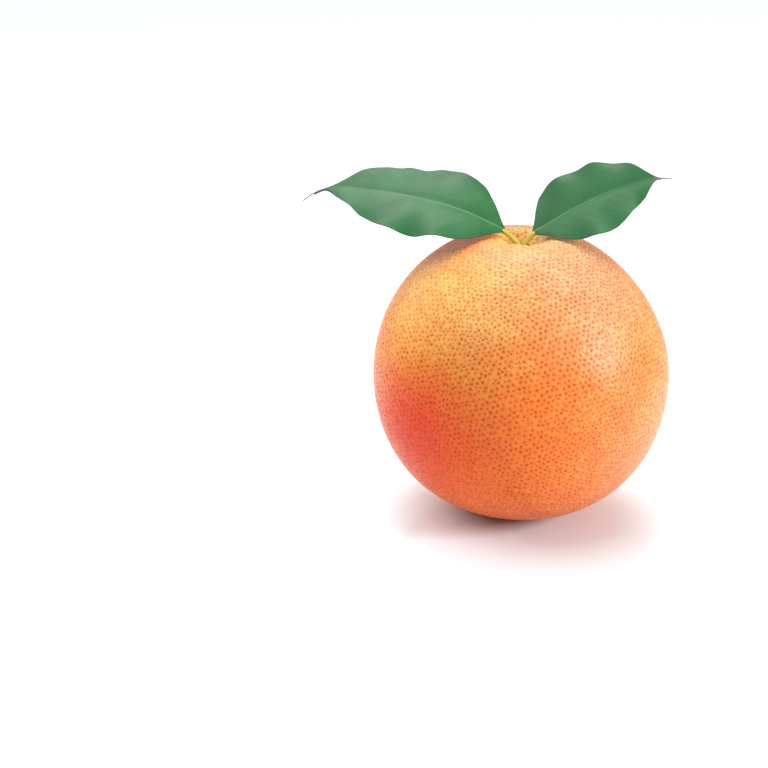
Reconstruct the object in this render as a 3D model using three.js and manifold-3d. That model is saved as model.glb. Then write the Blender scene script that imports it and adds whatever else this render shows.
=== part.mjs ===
// A pomelo as picked: the whole fruit, upright on a small flat spot, with its calyx, a short cut
// stalk in the drawn-in stalk end, and two leaves growing from that stalk.
// Millimetres, +Z up. The origin is the middle of the flat spot, on the surface the fruit rests on.
import * as THREE from "three";
import { mergeVertices } from "three/addons/utils/BufferGeometryUtils.js";
import Module from "manifold-3d";

const wasm = await Module();
wasm.setup();

// Fruit
const FRUIT_RADIUS = 65;
const SEAT_RADIUS = 12; // the flat spot that it rests on
const SHOULDER_LOSS = 0.5; // how much flatter than a sphere it is above its widest place
const SHOULDER_LEAN = 0.8; // more of that on its +X side, less on the other
const HAUNCH = 1.5; // how much fuller than a sphere it is below its widest place
const BASE_LOSS = 1.1; // how much flatter it is round the seat
const BASE_NARROWNESS = 8; // the larger, the closer that keeps to the seat
const PIT_DEPTH = 9.5; // how far the stalk end is drawn in
const PIT_WIDTH = 7.5;
const BASIN_DEPTH = 3; // the wide dip round that pit
const BASIN_WIDTH = 16;
const FURROWS = 9; // shallow creases that run out of the pit
const FURROW_DEPTH = 0.7;
const FURROW_MIDDLE = 12; // distance from the axis where they are deepest
const FURROW_SPREAD = 6;
const FURROW_WANDER = 0.8; // how unevenly they are spaced, in radians
// Gentle swellings of the skin: [lobes round the axis, turn in radians, height in mm]
const SWELLS = [
  [2, 2.2, 0.4],
  [3, 2.6, 0.3],
  [5, 0.9, 0.25],
];
const FRUIT_ROWS = 36;
const FRUIT_COLUMNS = 64;
const ROW_CROWDING = 1.5; // above 1, the rows crowd towards the pit

// Calyx, the five-lobed green star under the stalk
const CALYX_RADIUS = 4.4;
const CALYX_LOBES = 5;
const CALYX_LOBE_SIZE = 0.2; // share of the radius that the lobes add and the notches take
const CALYX_THICK = 1.1; // at the foot of the stalk
const CALYX_EDGE = 0.7;
const CALYX_RINGS = 5;
const CALYX_COLUMNS = 40;

// Stalk
const STALK_RADIUS = 2.1;
const STALK_FLARE = 0.5; // added to the radius at the foot
const STALK_HEIGHT = 2.8;
const STALK_BEVEL = 0.4;
const STALK_SIDES = 28;

const GAP = 0.3; // between pieces that touch

// Leaves. Angles are in degrees: yaw is the heading round +Z, pitch is above the horizon. A leaf's
// bulges, of its right margin and its left, are what the plain oval gains at even steps along it, in mm.
const PETIOLE_RADIUS = 0.95;
const RIB_TIP_RADIUS = 0.35; // the midrib under the blade, at its far end
const RIB_SINK = 0.25; // how far the midrib's middle lies under the blade's
const RIB_REACH = 0.93; // share of the blade that the midrib runs along
const RIB_TAPER = 0.6; // below 1, it thins fastest near the base
const RIB_SIDES = 10;
const RIB_STRIDE = 4; // steps of the path between its rings
const PETIOLE_BEND = 0.03; // share of the blade over which the petiole turns into it
const DROOP_START = 0.74; // share of the blade where its tip begins to hang
const BLADE_THICK = 0.7;
const BLADE_LEAN = 0.79; // below 1, the widest place lies nearer the base
const BLADE_BLUNTNESS = 0.82; // below 1, the ends are rounder
const FOOT_REACH = 0.12; // share of the blade over which it narrows down to the petiole
const FOOT_LOSS = 0.42; // share of the width that this takes at the petiole
const NECK_START = 0.8; // share of the blade where it begins to narrow into the drip tip
const NECK_LOSS = 0.8; // share of the width that this takes
const TAIL_HALF_WIDTH = 0.45; // the thread-like drip tip
const WAVE_EDGE = 2.5; // above 1, the waves keep to the margins
const LEAF_STEPS = 46;
const LEAF_STRIPS = 12; // across the blade, an even number
const PATH_STEP = 0.5; // length of one step along a leaf's midrib
const LEAVES = [
  {
    name: "leaf_left",
    root: [-1.4, 0.3, 120.2],
    petiole: 9.3,
    petiolePitch: 40.6,
    length: 96.9,
    halfWidth: 22.7,
    yaw: 171,
    yawBend: -8.8,
    pitch: 30.9,
    arch: 2.67,
    droop: 39.2,
    roll: -22.1,
    twist: -3.4,
    fold: 0.1,
    recurve: 0.1,
    tail: 0.1,
    bulges: [
      [-0.9, 2.1, 2, 0.4, -3.8, -1.7, 0.4, 0.9, -0.3],
      [-0.4, 0.3, -0.5, 0.1, 1.2, 1.6, 0.5, -1.7, 0.7],
    ],
    waves: { count: 4.34, height: 0.53, turns: [1.08, 0.25] },
    curl: { side: 1, share: 0.37, spread: 0.06, rise: -1.8 },
    green: 0x3f7f4f,
  },
  {
    name: "leaf_right",
    root: [-0.2, -0.3, 121],
    petiole: 6.2,
    petiolePitch: 48.3,
    length: 66.4,
    halfWidth: 19.4,
    yaw: 21.2,
    yawBend: -9.2,
    pitch: 30.6,
    arch: 0.55,
    droop: 9.4,
    roll: 22.6,
    twist: 15.3,
    fold: 0.11,
    recurve: 0.09,
    tail: 0.05,
    bulges: [
      [-1.2, -0.2, 0.1, 1, 0.4, 0.5, -0.3, -1.1, -0.5],
      [-2, 0.2, 0.4, 0.2, -0.3, 0.7, 0.4, 1, -0.2],
    ],
    waves: { count: 3.85, height: 0.87, turns: [-0.51, 0.41] },
    curl: { side: -1, share: 0.68, spread: 0.06, rise: 0.9 },
    green: 0x3a7a48,
  },
];

// A closed mesh's triangles as a three.js geometry.
function geometryOf(points, triangles) {
  const geometry = new THREE.BufferGeometry();
  geometry.setAttribute("position", new THREE.Float32BufferAttribute(points.flatMap((p) => p.toArray()), 3));
  geometry.setIndex(triangles.flat());
  geometry.computeVertexNormals();
  return geometry;
}

// A three.js geometry as a solid that can be joined and cut.
function solidOf(geometry) {
  const bare = geometry.clone();
  bare.deleteAttribute("normal");
  bare.deleteAttribute("uv");
  const merged = mergeVertices(bare);
  const vertProperties = new Float32Array(merged.attributes.position.array);
  const triVerts = new Uint32Array(merged.index.array);
  return new wasm.Manifold(new wasm.Mesh({ numProp: 3, vertProperties, triVerts }));
}

function geometryOfSolid(solid) {
  const mesh = solid.getMesh();
  const geometry = new THREE.BufferGeometry();
  geometry.setAttribute("position", new THREE.BufferAttribute(mesh.vertProperties, mesh.numProp));
  geometry.setIndex(new THREE.BufferAttribute(mesh.triVerts, 1));
  geometry.computeVertexNormals();
  return geometry;
}

function namedMesh(name, geometry, color, roughness) {
  const mesh = new THREE.Mesh(geometry, new THREE.MeshStandardMaterial({ color, roughness, metalness: 0 }));
  mesh.name = name;
  return mesh;
}

// Rings of points, first to last, closed with a point at each end. Each ring runs anticlockwise seen from
// the end that it starts at.
function closedRings(start, rings, end) {
  const columns = rings[0].length;
  const points = [start, ...rings.flat(), end];
  const last = points.length - 1;
  const at = (ring, column) => 1 + ring * columns + (column % columns);
  const triangles = [];
  for (let c = 0; c < columns; c++) {
    triangles.push([0, at(0, c), at(0, c + 1)]);
    for (let r = 0; r + 1 < rings.length; r++) {
      triangles.push([at(r, c), at(r + 1, c), at(r + 1, c + 1)]);
      triangles.push([at(r, c), at(r + 1, c + 1), at(r, c + 1)]);
    }
    triangles.push([last, at(rings.length - 1, c + 1), at(rings.length - 1, c)]);
  }
  return geometryOf(points, triangles);
}

// The skin's distance from the fruit's middle, swellings left out, at a polar angle from the stalk end.
function plainRadius(polar, azimuth) {
  const slant = Math.sin(2 * polar) ** 2; // strongest half way between the widest place and the ends
  if (polar < Math.PI / 2) return FRUIT_RADIUS - slant * (SHOULDER_LOSS + SHOULDER_LEAN * Math.cos(azimuth));
  return FRUIT_RADIUS + HAUNCH * slant - BASE_LOSS * Math.cos(polar) ** BASE_NARROWNESS;
}

const SEAT_POLAR = Math.PI - Math.asin(SEAT_RADIUS / FRUIT_RADIUS);
const FRUIT_CENTRE = -plainRadius(SEAT_POLAR, 0) * Math.cos(SEAT_POLAR);

// How far the stalk end is drawn in below the plain form, at a distance from the axis.
function hollowDepth(out) {
  const pit = PIT_DEPTH * Math.exp(-((out / PIT_WIDTH) ** 2));
  return pit + BASIN_DEPTH * Math.exp(-((out / BASIN_WIDTH) ** 2));
}

function furrowDepth(out, azimuth) {
  const crease = ((1 + Math.cos(FURROWS * azimuth + FURROW_WANDER * Math.sin(2 * azimuth))) / 2) ** 2;
  return FURROW_DEPTH * crease * Math.exp(-(((out - FURROW_MIDDLE) / FURROW_SPREAD) ** 2));
}

// The skin's point in the direction of a polar angle from the stalk end and an azimuth from +X.
function skinPoint(polar, azimuth) {
  const across = Math.sin(polar);
  let radius = plainRadius(polar, azimuth);
  for (const [lobes, turn, height] of SWELLS) {
    radius += height * across ** lobes * Math.cos(lobes * azimuth + turn);
  }
  const out = radius * across;
  const drawnIn = polar < Math.PI / 2 ? hollowDepth(out) + furrowDepth(out, azimuth) : 0;
  const z = Math.max(FRUIT_CENTRE + radius * Math.cos(polar) - drawnIn, 0);
  return new THREE.Vector3(out * Math.cos(azimuth), out * Math.sin(azimuth), z);
}

function fruit() {
  const rings = [];
  for (let r = 1; r <= FRUIT_ROWS; r++) {
    const polar = SEAT_POLAR * (r / FRUIT_ROWS) ** ROW_CROWDING;
    const ring = [];
    for (let c = 0; c < FRUIT_COLUMNS; c++) {
      const point = skinPoint(polar, (c / FRUIT_COLUMNS) * 2 * Math.PI);
      if (r === FRUIT_ROWS) point.z = 0;
      ring.push(point);
    }
    rings.push(ring);
  }
  return closedRings(skinPoint(0, 0), rings, new THREE.Vector3(0, 0, 0));
}

// Height of the hollow's floor at a distance from the axis, creases left out.
function floorHeight(out) {
  return FRUIT_CENTRE + Math.sqrt(FRUIT_RADIUS ** 2 - out ** 2) - hollowDepth(out);
}

// The calyx has a flat top under the stalk.
const CALYX_TOP = floorHeight(STALK_RADIUS + STALK_FLARE) + GAP + CALYX_THICK;
const STALK_FOOT = CALYX_TOP + GAP;

function calyx() {
  const rings = [];
  const addRing = (share, onTop) => {
    const ring = [];
    for (let c = 0; c < CALYX_COLUMNS; c++) {
      const azimuth = (c / CALYX_COLUMNS) * 2 * Math.PI;
      const out = share * CALYX_RADIUS * (1 + CALYX_LOBE_SIZE * Math.cos(CALYX_LOBES * azimuth) * share);
      const under = floorHeight(out) + GAP;
      const thick = CALYX_THICK + (CALYX_EDGE - CALYX_THICK) * share;
      const z = onTop ? Math.max(under + thick, CALYX_TOP) : under;
      ring.push(new THREE.Vector3(out * Math.cos(azimuth), out * Math.sin(azimuth), z));
    }
    rings.push(ring);
  };
  for (let r = 1; r <= CALYX_RINGS; r++) addRing(r / CALYX_RINGS, true);
  for (let r = CALYX_RINGS; r >= 1; r--) addRing(r / CALYX_RINGS, false);
  const top = new THREE.Vector3(0, 0, CALYX_TOP);
  const bottom = new THREE.Vector3(0, 0, floorHeight(0) + GAP);
  return closedRings(top, rings, bottom);
}

// The stalk grown by a margin all round, standing on its own foot.
function stalk(margin) {
  const radius = STALK_RADIUS + margin;
  const profile = [
    [0, -margin],
    [radius + STALK_FLARE, -margin],
    [radius, STALK_HEIGHT / 2],
    [radius, STALK_HEIGHT + margin - STALK_BEVEL],
    [radius - STALK_BEVEL, STALK_HEIGHT + margin],
    [0, STALK_HEIGHT + margin],
  ].map(([out, height]) => new THREE.Vector2(out, height));
  return new THREE.LatheGeometry(profile, STALK_SIDES).rotateX(Math.PI / 2).translate(0, 0, STALK_FOOT);
}

const radians = THREE.MathUtils.degToRad;
const ease = THREE.MathUtils.smoothstep;

// The leaf's midrib from the root of its petiole to the tip: points with the directions along it, across
// the blade to the left of the heading, and up from the blade.
function midrib(leaf) {
  const steps = Math.round((leaf.petiole + leaf.length) / PATH_STEP);
  const place = new THREE.Vector3(...leaf.root);
  const frames = [];
  for (let i = 0; i <= steps; i++) {
    const share = (i * PATH_STEP - leaf.petiole) / leaf.length; // of the blade, below 0 on the petiole
    const along = Math.max(share, 0);
    const bladePitch = leaf.pitch * Math.max(1 - along, 0) ** leaf.arch;
    const onBlade = ease(share, -PETIOLE_BEND, PETIOLE_BEND);
    const hanging = leaf.droop * ease(along, DROOP_START, 1);
    const pitch = radians(leaf.petiolePitch * (1 - onBlade) + (bladePitch - hanging) * onBlade);
    const yaw = radians(leaf.yaw + leaf.yawBend * along);
    const forward = new THREE.Vector3(
      Math.cos(pitch) * Math.cos(yaw),
      Math.cos(pitch) * Math.sin(yaw),
      Math.sin(pitch),
    );
    const left = new THREE.Vector3(-Math.sin(yaw), Math.cos(yaw), 0);
    left.applyAxisAngle(forward, radians(leaf.roll + leaf.twist * along));
    const up = new THREE.Vector3().crossVectors(forward, left);
    frames.push({ share, point: place.clone(), forward, left, up });
    place.addScaledVector(forward, PATH_STEP);
  }
  return frames;
}

// Half the blade's width as a share of its widest, from 0 at the base to 1 where the drip tip begins.
function outline(share) {
  const oval = Math.sin(Math.PI * THREE.MathUtils.clamp(share, 0, 1) ** BLADE_LEAN) ** BLADE_BLUNTNESS;
  const foot = 1 - FOOT_LOSS * (1 - ease(share, 0, FOOT_REACH));
  return oval * foot * (1 - NECK_LOSS * ease(share, NECK_START, 1));
}

// What a margin gains on the plain oval, read from its row of bulges.
function bulge(row, share) {
  const place = THREE.MathUtils.clamp(share, 0, 1) * (row.length + 1);
  const step = Math.min(Math.floor(place), row.length);
  const before = row[step - 1] ?? 0;
  const after = row[step] ?? 0;
  return before + (after - before) * ease(place - step, 0, 1);
}

// The middle of the blade's thickness, across from -1 at its right margin to 1 at its left.
function bladePoint(leaf, frame, across) {
  const share = frame.share;
  const margin = across < 0 ? 0 : 1;
  const reach = share / (1 - leaf.tail);
  const plain = leaf.halfWidth * outline(reach);
  const half = Math.max(plain + bulge(leaf.bulges[margin], reach), TAIL_HALF_WIDTH);
  const side = Math.abs(across);
  const turn = leaf.waves.turns[margin];
  const calm = Math.sin(Math.PI * THREE.MathUtils.clamp(share, 0, 1)); // no waves at base and tip
  const swing = Math.sin(2 * Math.PI * leaf.waves.count * share + turn);
  const wave = leaf.waves.height * calm * side ** WAVE_EDGE * swing;
  const { side: curled, share: middle, spread, rise } = leaf.curl;
  const curl = across * curled > 0 ? rise * side ** 2 * Math.exp(-(((share - middle) / spread) ** 2)) : 0;
  const lift = half * (leaf.fold * side - leaf.recurve * side ** 2) + wave + curl;
  return frame.point.clone().addScaledVector(frame.left, across * half).addScaledVector(frame.up, lift);
}

function blade(leaf, frames) {
  const onBlade = frames.filter((frame) => frame.share >= 0);
  const rings = [];
  for (let i = 0; i <= LEAF_STEPS; i++) {
    const frame = onBlade[Math.round((i / LEAF_STEPS) * (onBlade.length - 1))];
    const ring = [];
    for (const side of [-1, 1]) {
      for (let j = 0; j <= LEAF_STRIPS; j++) {
        const across = side * (1 - (2 * j) / LEAF_STRIPS);
        const surface = bladePoint(leaf, frame, across);
        ring.push(surface.addScaledVector(frame.up, (-side * BLADE_THICK) / 2));
      }
    }
    rings.push(ring);
  }
  const [first, last] = [onBlade[0], onBlade.at(-1)];
  return closedRings(bladePoint(leaf, first, 0), rings, bladePoint(leaf, last, 0));
}

// The petiole and, as one tapering rod with it, the midrib that stands out under the blade.
function rib(frames) {
  const onRib = frames.filter((frame) => frame.share <= RIB_REACH);
  const rings = [];
  for (let i = 0; i < onRib.length; i += RIB_STRIDE) {
    const { share, point, left, up } = onRib[i];
    const taper = Math.max(share / RIB_REACH, 0) ** RIB_TAPER;
    const radius = PETIOLE_RADIUS + (RIB_TIP_RADIUS - PETIOLE_RADIUS) * taper;
    const middle = point.clone().addScaledVector(up, -RIB_SINK * taper);
    const ring = [];
    for (let k = 0; k < RIB_SIDES; k++) {
      const turn = (-k / RIB_SIDES) * 2 * Math.PI;
      ring.push(
        middle
          .clone()
          .addScaledVector(left, radius * Math.cos(turn))
          .addScaledVector(up, radius * Math.sin(turn)),
      );
    }
    rings.push(ring);
  }
  const middleOf = (ring) =>
    ring.reduce((sum, p) => sum.add(p), new THREE.Vector3()).divideScalar(ring.length);
  return closedRings(middleOf(rings[0]), rings, middleOf(rings.at(-1)));
}

function leafSolid(leaf) {
  const frames = midrib(leaf);
  const whole = solidOf(blade(leaf, frames)).add(solidOf(rib(frames)));
  return geometryOfSolid(whole.subtract(solidOf(stalk(GAP))));
}

const pomelo = new THREE.Group();
pomelo.add(namedMesh("fruit", fruit(), 0xf08c46, 0.42));
pomelo.add(namedMesh("calyx", calyx(), 0x8c8a3c, 0.7));
pomelo.add(namedMesh("stalk", stalk(0), 0x9a9a45, 0.6));
for (const leaf of LEAVES) pomelo.add(namedMesh(leaf.name, leafSolid(leaf), leaf.green, 0.45));

export default pomelo;
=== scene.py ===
"""The looks of a whole pomelo with two leaves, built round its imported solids.

Dimensions are in millimetres, and the main ones repeat those of the solids. Meshes are in metres.
"""
import math

import bpy
import numpy as np
from mathutils import Matrix, Vector


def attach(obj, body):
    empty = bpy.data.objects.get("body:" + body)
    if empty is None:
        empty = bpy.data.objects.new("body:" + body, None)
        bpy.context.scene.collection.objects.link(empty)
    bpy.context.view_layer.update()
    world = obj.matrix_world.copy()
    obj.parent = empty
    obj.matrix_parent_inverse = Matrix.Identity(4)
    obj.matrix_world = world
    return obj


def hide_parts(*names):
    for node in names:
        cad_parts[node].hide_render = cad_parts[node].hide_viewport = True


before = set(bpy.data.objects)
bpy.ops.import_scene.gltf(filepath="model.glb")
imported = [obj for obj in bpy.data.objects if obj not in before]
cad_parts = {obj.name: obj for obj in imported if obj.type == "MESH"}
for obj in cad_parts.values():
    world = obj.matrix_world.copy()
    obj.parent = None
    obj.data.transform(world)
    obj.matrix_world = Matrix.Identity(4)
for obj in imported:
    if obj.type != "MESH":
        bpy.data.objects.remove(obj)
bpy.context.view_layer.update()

MM = 0.001
SEED = 20

# Fruit
FRUIT_RADIUS = 65
SEAT_RADIUS = 12
SHOULDER_LOSS = 0.5
SHOULDER_LEAN = 0.8
HAUNCH = 1.5
BASE_LOSS = 1.1
BASE_NARROWNESS = 8
PIT_DEPTH = 9.5  # the narrow hollow that the stalk grows from, in a wide shallow basin
PIT_WIDTH = 7.5
BASIN_DEPTH = 3
BASIN_WIDTH = 16
FURROWS = 9
FURROW_DEPTH = 0.7
FURROW_MIDDLE = 12
FURROW_SPREAD = 6
FURROW_WANDER = 0.8
SWELLS = [(2, 2.2, 0.4), (3, 2.6, 0.3), (5, 0.9, 0.25)]  # slow waves round it: count, turn, height
SLOPE_STEP = 0.004  # how far apart two directions are where the skin's slope is taken
UPRIGHT = 0.9  # a direction that rises more than this counts as upright
MERGE_DIGITS = 6  # directions that agree to this many digits are one point

# Pores of the skin, on the points of a divided icosahedron
PORE_DIVISIONS = 33
PORE_TURN = (0.5, 0.35, 0.8)  # turns that grid so that no seam of it lines up with the fruit
PORE_SCATTER = 0.34  # twice a pore's usual move from the grid, as a share of the spacing
PORE_MOVE_LIMIT = 0.4  # the largest such share
PORE_STRENGTH = (0.55, 1.0)  # the faintest and the strongest
PORE_LEAST_SIZE = 0.6  # share of the full size that the faintest would shrink to
PORE_LIP_SHARE = 0.1  # share of a pore's darkness at its lip
PORE_LIP = 0.95  # radius of a pore
PORE_ROOM = 0.42  # most that a pore may take of the way to the next one
PORE_DEPTH = 0.3
SKIN_CROWN = 0.1  # how far the skin bulges between pores

# Scar of the flower, in the middle of the seat
SCAR_RADIUS = 2.4
SCAR_DEPTH = 0.8
SCAR_EDGE = 4  # the higher, the sharper its edge

# Calyx and stalk
GAP = 0.3
CALYX_RADIUS = 4.4
CALYX_LOBES = 5
CALYX_LOBE_SIZE = 0.2
CALYX_THICK = 1.1
CALYX_EDGE = 0.7
CALYX_RINGS = 22
CALYX_COLUMNS = 160
CALYX_REACH = (0.92, 1.08)  # a lobe's reach, as a share of the plain star's
CALYX_CURL = (0.1, 0.45)  # how far the tip of a lobe lifts
CALYX_RAGGED = 0.02
CALYX_SETTLING = 0.8  # share of the gap below that has gone by the edge
CALYX_THINNING = 0.6  # share of the thickness that has gone by the edge
CALYX_RIDGE = 0.12
STALK_RADIUS = 2.1
STALK_FLARE = 0.5
STALK_HEIGHT = 2.8
STALK_COLUMNS = 72
STALK_SIDE_ROWS = 24
STALK_CUT_ROWS = 12
STALK_INSET = 0.05
STALK_BEVEL = 0.35
BEVEL_SHARE = 0.25  # share of the rows of the cut that the bevel takes
BARK_RIBS = 11
BARK_RIB_HEIGHT = 0.07
BARK_RIB_WANDER = 0.6
BARK_RIB_WANDERS = 3
BARK_RAGGED = 0.015
KNOT_HEIGHT = 0.1
KNOT_PACE = 17
CUT_DISH = 0.12
CUT_RING_HEIGHT = 0.05
CUT_RING_PACE = 14
CUT_CLOSING = 0.94  # share of the radius that has gone by the innermost ring
CUT_START = 0.2  # share of the rows of the cut that still show some bark
CUT_EDGE_WOOD = 0.3  # share of bare wood on those rows
CUT_SINK = 0.1

# Leaves
PETIOLE_RADIUS = 0.95
RIB_TIP_RADIUS = 0.35
RIB_SINK = 0.25
RIB_REACH = 0.93
RIB_TAPER = 0.6
PETIOLE_BEND = 0.03
DROOP_START = 0.74
BLADE_LEAN = 0.79
BLADE_BLUNTNESS = 0.82
FOOT_REACH = 0.12
FOOT_LOSS = 0.42
NECK_START = 0.8
NECK_LOSS = 0.8
TAIL_START = 0.86
TAIL_HALF_WIDTH = 0.45
TAIL_TAPER = 0.6  # share of the drip tip's width that goes by its end
WAVE_EDGE = 2.5
PATH_STEP = 0.5
BLADE_THICK = 0.42
MARGIN_THICK = 0.16
MARGIN_SHARPNESS = 6  # the higher, the nearer to the margin the blade thins
LEAF_ROWS = 260
LEAF_STRIPS = 60
STRIP_CROWDING = 0.55  # how far the strips crowd towards the margins
VEINS = 11  # side veins on each half of a blade
VEIN_SWEEP = 0.62
VEIN_CURVE = 0.35
VEIN_RELIEF = 0.04
VEIN_RELIEF_FROM = (2, 10)  # half widths between which that relief grows
RIDGE_HEIGHT = 0.3  # the midrib where it shows on the upper face
RIDGE_WIDTH = 0.45
RIDGE_LOSS = 0.8  # share of its height that has gone by the tip
GUTTER_DEPTH = 0.6  # how far the blade dips towards its midrib near the base
GUTTER_WIDTH = 3.0
GUTTER_FROM = (0.01, 0.1)  # shares of the blade between which it starts
ROD_ROWS = 220
ROD_SIDES = 20
ROD_SINK = 0.55  # share of the rod's radius that lies in the blade
ROD_SINK_FROM = (-0.02, 0.05)  # shares of the blade between which it sinks in
ROOT_SWELL = 0.3
ROOT_SWELL_LENGTH = 0.04
JOINT_SWELL = 0.12
JOINT_SWELL_LENGTH = 0.012
GROOVE_DEPTH = 0.16  # along the top of the petiole, as a share of its radius
GROOVE_WIDTH = 0.45
GROOVE_AT = -1.5 * math.pi
FAR_FROM_MARGIN = 5
LEAVES = [
    dict(
        name="leaf_left", root=(-1.4, 0.3, 120.2), petiole=9.3, petiole_pitch=40.6, length=96.9,
        half_width=22.7, yaw=171, yaw_bend=-8.8, pitch=30.9, arch=2.67, droop=39.2, roll=-22.1,
        twist=-3.4, fold=0.1, recurve=0.1, tail=0.1,
        right_bulges=(-0.9, 2.1, 2, 0.4, -3.8, -1.7, 0.4, 0.9, -0.3),
        left_bulges=(-0.4, 0.3, -0.5, 0.1, 1.2, 1.6, 0.5, -1.7, 0.7),
        wave_count=4.34, wave_height=0.53, wave_turns=(1.08, 0.25),
        curl_side=1, curl_share=0.37, curl_spread=0.06, curl_rise=-1.8,
    ),
    dict(
        name="leaf_right", root=(-0.2, -0.3, 121), petiole=6.2, petiole_pitch=48.3, length=66.4,
        half_width=19.4, yaw=21.2, yaw_bend=-9.2, pitch=30.6, arch=0.55, droop=9.4, roll=22.6,
        twist=15.3, fold=0.11, recurve=0.09, tail=0.05,
        right_bulges=(-1.2, -0.2, 0.1, 1, 0.4, 0.5, -0.3, -1.1, -0.5),
        left_bulges=(-2, 0.2, 0.4, 0.2, -0.3, 0.7, 0.4, 1, -0.2),
        wave_count=3.85, wave_height=0.87, wave_turns=(-0.51, 0.41),
        curl_side=-1, curl_share=0.68, curl_spread=0.06, curl_rise=0.9,
    ),
]

# The rind's colours are display colours, 0 to 255. Each patch has its direction from the fruit's
# middle, round +Z and above the horizon, its half width in degrees, its colour and its strength.
RIND_BASE = (240, 114, 27)
# Besides the rind's own colour, some patches below paint light, shade or sheen; each is marked.
PATCHES = [
    ((-90, 90), 60, (205, 126, 73), 0.85),
    ((-60, 48), 30, (222, 152, 98), 0.6),
    # Partly the rind's own yellow, partly painted light: made paler to brighten the left side.
    ((-135, 30), 28, (252, 199, 80), 0.88),
    ((-112, 36), 20, (246, 176, 104), 0.5),
    ((-147, 56), 20, (252, 196, 104), 0.6),
    # Partly the rind's own deep red, partly painted shade and painted red reflected light, low on the
    # left.
    ((-138, -8), 38, (224, 34, 1), 0.96),
    # Partly a blush, partly painted shade: the warm reddish-brown shadow of the left leaf on the shoulder.
    ((-178, 68), 16, (250, 80, 4), 0.92),
    ((-90, 90), 13, (252, 206, 104), 0.8),
    ((-88, -52), 34, (244, 100, 40), 0.6),
    # Partly the rind's own colour, partly a painted sheen: paler and bluer at the upper right.
    ((-34, 50), 26, (202, 156, 116), 0.7),
    ((-24, 4), 24, (184, 130, 52), 0.8),
    ((-40, -22), 30, (204, 130, 80), 0.65),
    ((30, 20), 34, (228, 148, 70), 0.65),
    ((75, -20), 36, (236, 100, 50), 0.6),
    ((110, 25), 30, (249, 172, 84), 0.7),
    ((160, -5), 34, (238, 112, 48), 0.7),
    ((195, 30), 26, (248, 168, 84), 0.6),
]
RIND_PALENESS = (0.94, 0.89, 0.86, 1.0)  # share of each colour that the rind gives back

# Fine level wrinkles below the front of the stalk end
CREASES_AT = (-93, 51)
CREASES_SPREAD = 0.2

# The finishes. A tone or colour is a display colour, a gain multiplies one, a share or show is how
# strongly something covers what is under it, sizes and depths are in millimetres, and a pair of
# numbers is where something starts and where it is full.
PLANT_IOR = 1.45
SPOTS = (0.35, 0.65)  # ranges of a noise that turn it into spots
SOFT_SPOTS = (0.3, 0.7)

RIND_SPECULAR = 0.22
RIND_SCATTER = dict(
    Subsurface_Weight=0.12, Subsurface_Radius=(0.004, 0.0015, 0.0006), Subsurface_Scale=0.6,
)
RIND_ROUGHNESS = (0.2, 0.31)
RIND_ROUGHNESS_SIZE = 1.6
BLOTCH_SIZE = 14
BLOTCH_SHARE = 0.22
BLOTCH_COLOUR = (224, 66, 16)
MOTTLE_SIZE = 1.9
MOTTLE_SPOTS = (0.44, 0.6)
MOTTLE_GAIN = (1.04, 1.24, 1.4, 1)
PAINTED_CREST_LIGHT_FADE = (0.0, 0.15)  # painted light: the skin between pores is painted paler, as on crests that catch the light
PAINTED_CREST_LIGHT_GAIN = (1.1, 1.42, 1.6, 1)
PORE_FADE = (0.18, 0.85)
PORE_SHARE = 0.8
PORE_COLOUR = (186, 130, 78)
SCAR_COLOUR = (92, 62, 34)
GRAIN_SIZE = 1.3
GRAIN_DEPTH = 0.22
SWELL_SIZE = 4.5
SWELL_DEPTH = 0.5
SWELL_STRETCH = (0.45, 0.45, 1.6)
CREASE_SIZE = 1.5
CREASE_DEPTH = 0.9
CREASE_STRETCH = (0.22, 1.0, 1.0)
CREASE_SHARE = 0.9
CREASE_EVERYWHERE = 0.06

LEAF_SPECULAR = 0.23
LEAF_SCATTER = dict(Subsurface_Weight=0.04, Subsurface_Radius=(0.001, 0.0015, 0.0005))
LEAF_ROUGHNESS = (0.34, 0.42)
LEAF_ROUGHNESS_SIZE = 8
UNDERSIDE_ROUGHNESS = (0.6, 0.6, 0.6, 1)
LEAF_TONES = ((30, 92, 45), (40, 104, 56))
LEAF_TONE_SIZE = 20
VEIN_WIDTH = 0.07  # share of the way to the next vein
VEIN_SHOW = 0.03
VEIN_COLOUR = (120, 166, 104)
NET_SIZE = 1.7
NET_WIDTH = 0.09
NET_SHOW = 0.06
NET_COLOUR = (110, 158, 100)
NET_SINK = -0.4
RIB_FADE = (0.15, 0.6)
RIB_RUN = (0.0, 0.8)
RIB_SHOW = (0.42, 0.08)  # at the start and at the end of that run
RIB_COLOUR = (112, 166, 88)
MARGIN_FADE = (0.05, 0.6)
MARGIN_SHOW = 0.75
MARGIN_COLOUR = (42, 52, 32)
UNDERSIDE_SHOW = 0.6
UNDERSIDE_COLOUR = (128, 160, 112)
ROD_FADE = (-0.02, 0.5)
ROD_TONES = ((186, 178, 76), (132, 168, 92))
TAIL_FADE = (TAIL_START, 0.92)
TAIL_COLOUR = (112, 104, 84)
VEIN_DEPTH = 0.012
LEAF_GRAIN_SIZE = 0.5
LEAF_GRAIN_DEPTH = 0.02

CALYX_ROUGHNESS = 0.72
CALYX_TONES = ((120, 124, 52), (156, 150, 74))
CALYX_TONE_SIZE = 0.8
CALYX_DRY_FADE = (0.72, 1.0)
CALYX_DRY_COLOUR = (104, 76, 42)
CALYX_GRAIN_SIZE = 0.35
CALYX_GRAIN_DEPTH = 0.12

STALK_ROUGHNESS = 0.7
BARK_TONES = ((116, 122, 56), (160, 158, 84))
BARK_SIZE = 0.5
BARK_STRETCH = (1.0, 1.0, 0.25)
BARK_DEPTH = 0.15
WOOD_TONES = ((150, 128, 84), (198, 180, 128))
WOOD_SIZE = 0.4

FLOOR_FINISH = dict(Base_Color=(0.83, 0.92, 0.96, 1), Roughness=0.12, IOR=1.27)
FLOOR_WAVE_SIZE = 30
FLOOR_WAVE_DEPTH = 0.02

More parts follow.
